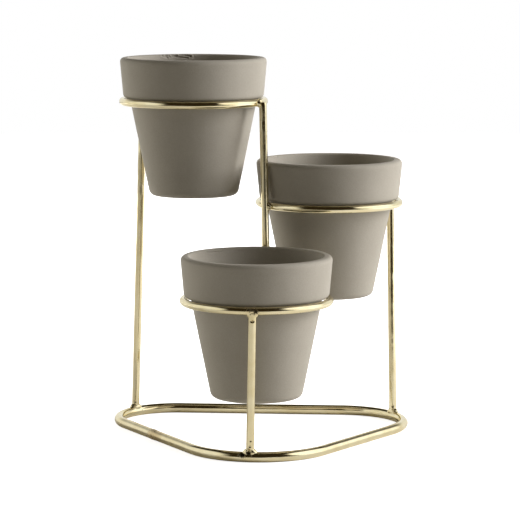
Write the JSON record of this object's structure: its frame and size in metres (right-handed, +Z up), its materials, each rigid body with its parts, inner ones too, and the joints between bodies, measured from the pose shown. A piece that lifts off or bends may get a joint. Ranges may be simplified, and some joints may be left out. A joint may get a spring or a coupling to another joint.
{
  "type": "indoor herb planter",
  "caption": "Table-top herb planter: collared pots that lift out of wire rings at stepped heights, on wire legs and a rounded triangular base loop.",
  "frame": {"origin": "middle of the footprint, on the table", "axes": "+Z up, -Y towards the front pot, +X to the right as seen from the front"},
  "size_m": [0.1184, 0.1088, 0.148],
  "materials": {
    "coloured_ceramic": "matte",
    "gold_wire": "polished",
    "weld_metal": "satin"
  },
  "bodies": {
    "stand": {"base_loop": "gold_wire", "centre_rod": "gold_wire", "ring_top": "gold_wire", "ring_middle": "gold_wire", "ring_front": "gold_wire", "leg_left": "gold_wire", "leg_right": "gold_wire", "leg_front": "gold_wire", "weld_base_butt": "weld_metal", "weld_leg_left_top": "weld_metal", "weld_leg_left_foot": "weld_metal", "weld_leg_right_top": "weld_metal", "weld_leg_right_foot": "weld_metal", "weld_leg_front_top": "weld_metal", "weld_leg_front_foot": "weld_metal", "weld_rod_top": "weld_metal", "weld_rod_middle": "weld_metal", "weld_rod_front": "weld_metal"},
    "top_pot": {"pot_top": "coloured_ceramic"},
    "middle_pot": {"pot_middle": "coloured_ceramic"},
    "front_pot": {"pot_front": "coloured_ceramic"}
  },
  "joints": [
    {"name": "top_pot_lift", "type": "slide", "parent": "stand", "child": "top_pot", "axis": [0, 0, 1], "range_m": [0, 0.06]},
    {"name": "middle_pot_lift", "type": "slide", "parent": "stand", "child": "middle_pot", "axis": [0.2215, 0.0391, 0.9744], "range_m": [0, 0.06]},
    {"name": "front_pot_lift", "type": "slide", "parent": "stand", "child": "front_pot", "axis": [-0.0109, -0.2076, 0.9781], "range_m": [0, 0.06]}
  ]
}
